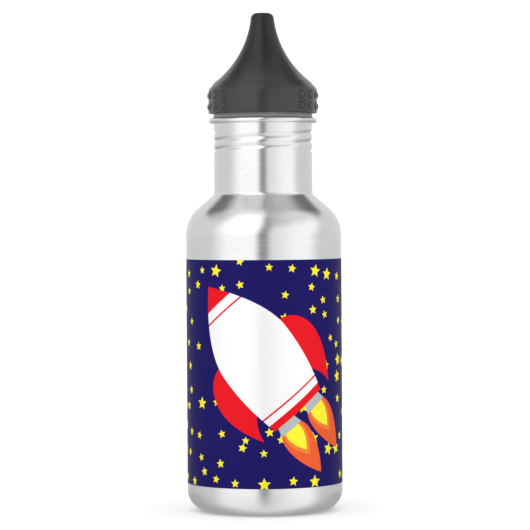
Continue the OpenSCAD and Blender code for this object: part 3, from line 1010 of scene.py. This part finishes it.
def floor():
    material, nodes, shader = new_material("pale_floor")
    place = nodes.add("ShaderNodeTexCoord").outputs["Object"]
    cloud = nodes.noise(place, 3.0)
    nodes.set(shader, "Base Color", nodes.colours(cloud, [(0.3, (0.97, 0.97, 0.97)),
                                                          (0.7, (0.99, 0.99, 0.99))]))
    nodes.set(shader, "Roughness", 0.9)
    nodes.set(shader, "Specular IOR Level", 0.1)
    reach = 40000
    verts, faces = revolved([(0, 0), (300, 0), (reach, 0)], 96, closed=False)
    piece = object_from("floor", verts, faces, material)
    piece.visible_glossy = False


def studio():
    """Two tall soft boxes beside the camera with a narrow dark gap between them, over a pale
    backdrop with a dark band above it. Diffuse light is an even, brighter dome."""
    world = bpy.data.worlds.new("studio")
    bpy.context.scene.world = world
    world.use_nodes = True
    nodes = Nodes(world.node_tree)
    way = nodes.add("ShaderNodeTexCoord").outputs["Generated"]
    x, y, z = nodes.add("ShaderNodeSeparateXYZ", Vector=way).outputs
    turn = nodes.math("DEGREES", nodes.math("ARCTAN2", x, nodes.math("MULTIPLY", y, -1.0)))
    lift = nodes.math("DEGREES", nodes.math("ARCSINE", z))
    side = nodes.math("ABSOLUTE", turn)
    dome, ground = 1.3, 1.1

    def over(base, level, mask):
        return nodes.math("ADD", base, nodes.math(
            "MULTIPLY", mask, nodes.math("SUBTRACT", level, base)))

    def times(*values):
        product = values[0]
        for value in values[1:]:
            product = nodes.math("MULTIPLY", product, value)
        return product

    backdrop = over(nodes.ramp(side, 80, 140, 0.76, 0.5), 0.84, nodes.ramp(lift, -12, 2, 0, 1))
    dark = nodes.ramp(side, 92, 140, 0.72, 0.18)
    ceiling = nodes.ramp(turn, -80, 60, 0.95, 0.62)
    light = over(backdrop, dark, nodes.ramp(lift, 31, 39, 0, 1))
    light = over(light, ceiling, nodes.ramp(lift, 50, 66, 0, 1))

    middle = nodes.ramp(lift, 0, 40, -1.5, 7.0, smooth=False)
    across = nodes.math("SUBTRACT", turn, middle)
    spread = nodes.ramp(lift, -50, -10, 18, 0, smooth=False)
    left_low = nodes.ramp(lift, -12, 12, 1.16, 1.5)
    left_box = over(left_low, 0.85, nodes.ramp(lift, 58, 88, 0, 1))
    left_edge = nodes.math("ADD", turn, spread)
    light = over(light, left_box, times(nodes.ramp(left_edge, -90, -50, 0, 1),
                                        nodes.ramp(across, -4, 4, 1, 0)))

    rising = nodes.math("SUBTRACT", lift, nodes.ramp(turn, 20, 90, 0, 10, smooth=False))
    right_low = times(nodes.ramp(turn, 6, 58, 0.98, 1.28), nodes.ramp(lift, -12, 0, 0.93, 1))
    right_high = over(nodes.ramp(turn, 15, 65, 0.64, 0.9), 0.52, nodes.ramp(lift, 58, 84, 0, 1))
    right_box = over(right_low, right_high, nodes.ramp(rising, 14, 42, 0, 1))
    spread = nodes.math("ADD", spread, nodes.ramp(lift, 0, 45, 0, 30, smooth=False))
    right_edge = nodes.math("SUBTRACT", turn, spread)
    light = over(light, right_box, times(nodes.ramp(across, -4, 4, 0, 1),
                                         nodes.ramp(right_edge, 66, 92, 1, 0)))

    gap = over(nodes.ramp(lift, -14, -1, 0.6, 0.28), 0.4, nodes.ramp(lift, 1, 12, 0, 1))
    light = over(light, gap, times(nodes.ramp(nodes.math("ABSOLUTE", across), 2, 14, 1, 0),
                                   nodes.ramp(lift, 56, 76, 1, 0)))
    light = over(light, 1.0, nodes.ramp(lift, -85, -50, 0.8, 0))
    path = nodes.add("ShaderNodeLightPath")
    light = over(light, dome, path.outputs["Is Diffuse Ray"])
    light = over(light, ground, path.outputs["Is Camera Ray"])
    back = nodes.add("ShaderNodeBackground", Strength=light, Color=(1.0, 1.0, 1.0, 1.0))
    out = nodes.add("ShaderNodeOutputWorld")
    nodes.tree.links.new(back.outputs[0], out.inputs[0])


def camera():
    """Long lens a little above the middle, as a product is photographed."""
    data = bpy.data.cameras.new("camera")
    data.lens, data.sensor_width = LENS, SENSOR
    data.clip_start, data.clip_end = 0.05, 200.0
    piece = bpy.data.objects.new("camera", data)
    piece.location = Vector(CAMERA_AT) * MM
    pitch, roll = math.radians(90 - CAMERA_DOWN), math.radians(CAMERA_ROLL)
    piece.matrix_world = (Matrix.Translation(piece.location)
                          @ Matrix.Rotation(pitch, 4, "X") @ Matrix.Rotation(roll, 4, "Z"))
    bpy.context.scene.collection.objects.link(piece)
    bpy.context.scene.camera = piece


camera()
studio()
floor()
bpy.context.scene.view_settings.view_transform = "Standard"

steel_shell()
steel_base()
printed_wrap()
neck_gasket()
cap_body()
spout_post()
post_tip_seal()
tower_ring()
vent_flap()
pull_sleeve()
bite_skin()
cover_shell()
